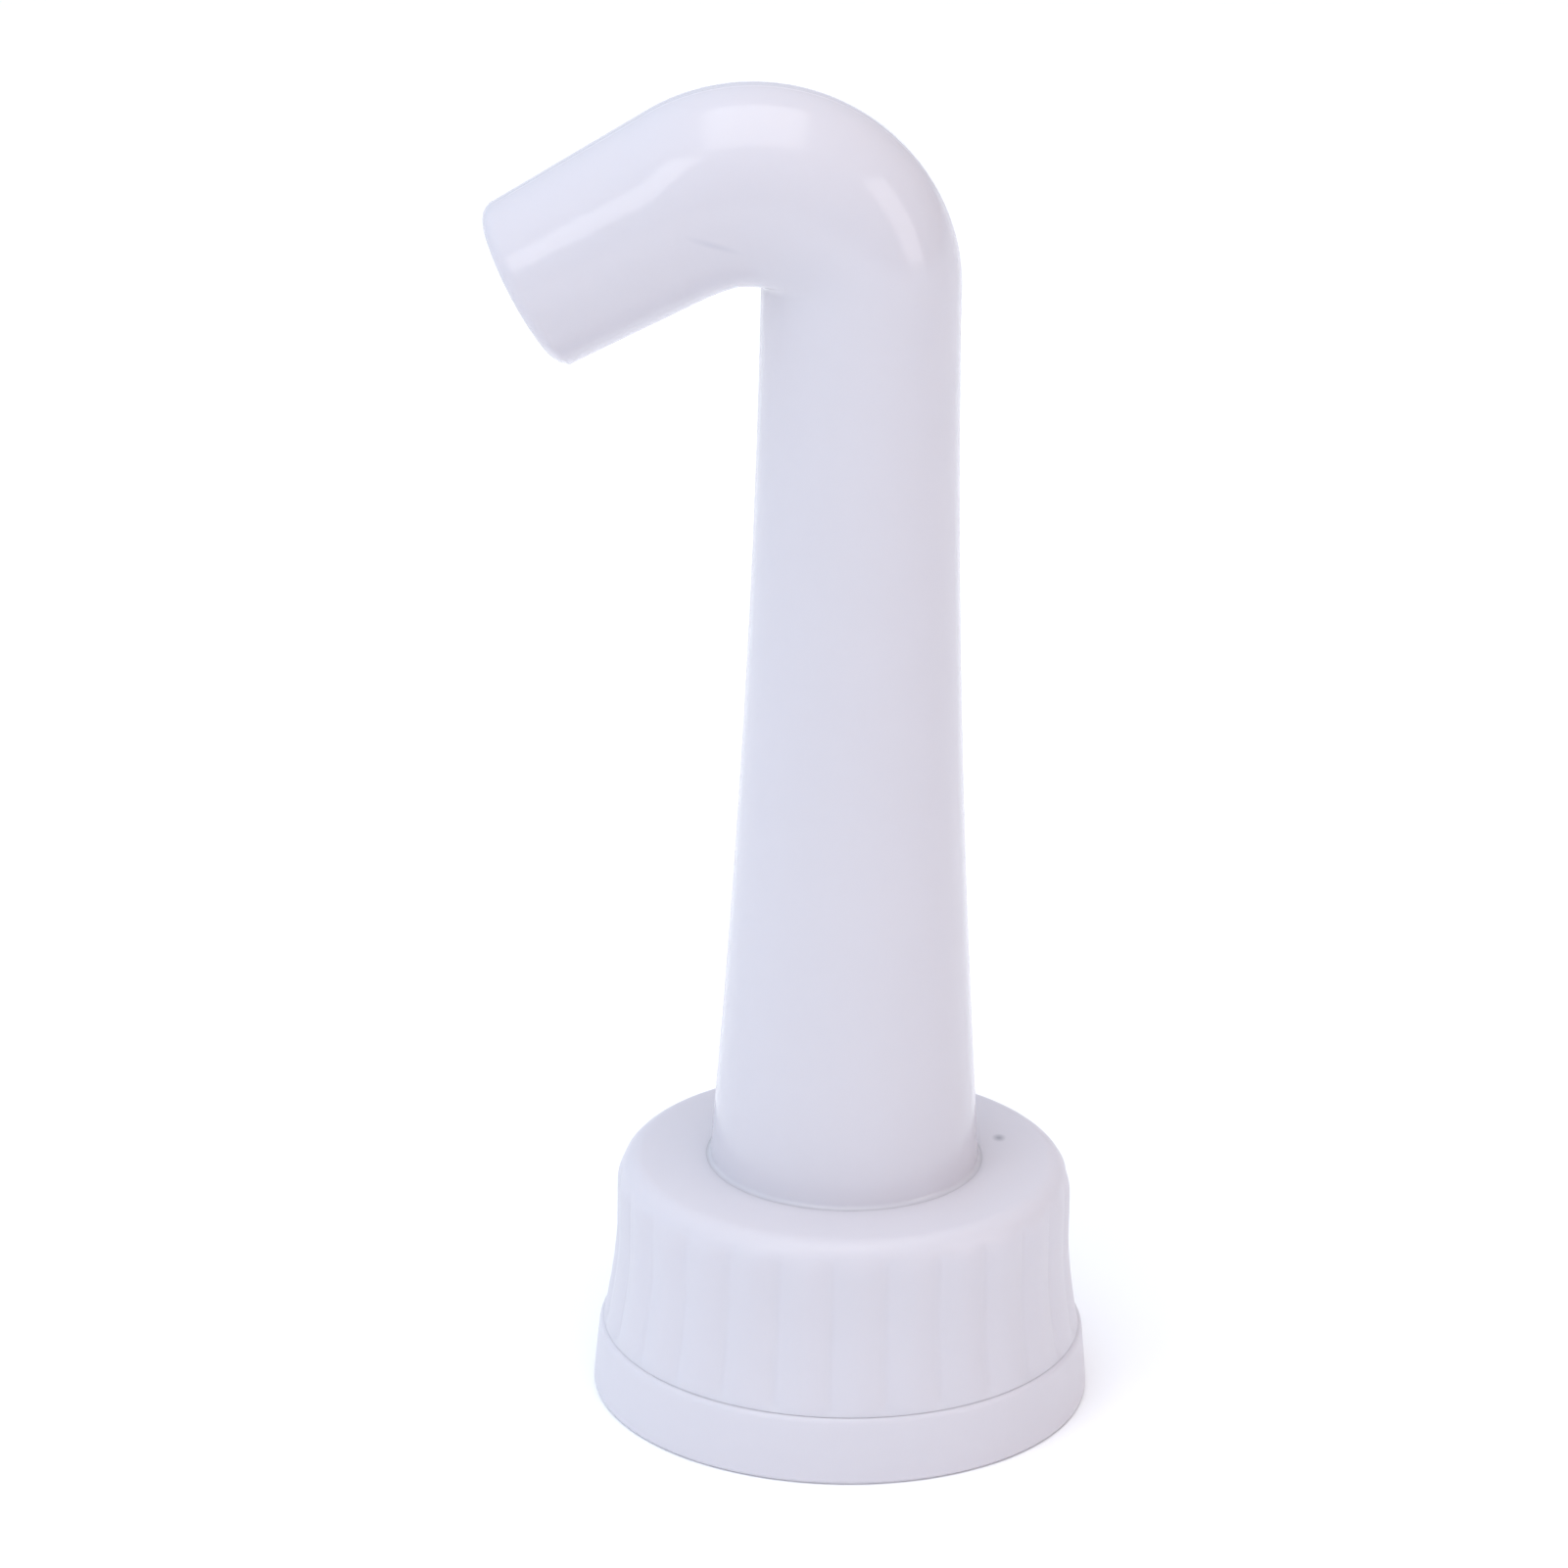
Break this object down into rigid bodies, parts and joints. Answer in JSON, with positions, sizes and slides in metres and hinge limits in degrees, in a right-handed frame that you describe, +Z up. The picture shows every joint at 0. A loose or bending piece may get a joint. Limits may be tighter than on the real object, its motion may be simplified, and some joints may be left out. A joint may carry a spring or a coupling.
{
  "type": "saliva ejector tip",
  "caption": "Bent hollow suction spout on a flared stem that swivels in a ribbed screw collar with a lock band, with O-ring, washer, clip and strainer.",
  "frame": {"origin": "centre of the collar's mouth, on the plane that the lock band stands on", "axes": "+Z up along the collar and the stem; the spout points towards -X; +Y is to the spout's right when seen from above with the spout pointing away"},
  "size_m": [0.0409, 0.033, 0.0905],
  "materials": {
    "collar_plastic": "semi-gloss moulded plastic, pale lavender white",
    "tube_plastic": "semi-gloss moulded plastic, pale lavender white",
    "washer_plastic": "smooth slip plastic, natural white",
    "seal_rubber": "soft matt silicone, light grey",
    "ring_rubber": "satin black rubber",
    "spring_steel": "bright spring steel",
    "strainer_steel": "perforated stainless steel"
  },
  "bodies": {
    "collar": {"screw_collar": "collar_plastic", "lock_band": "collar_plastic", "gasket": "seal_rubber"},
    "spout": {"spout_tube": "tube_plastic", "swivel_o_ring": "ring_rubber", "thrust_washer": "washer_plastic", "retaining_clip": "spring_steel", "strainer": "strainer_steel"}
  },
  "joints": [
    {"name": "spout_swivel", "type": "hinge", "parent": "collar", "child": "spout", "pos_m": [0, 0, 0], "axis": [0, 0, 1], "continuous": true}
  ]
}
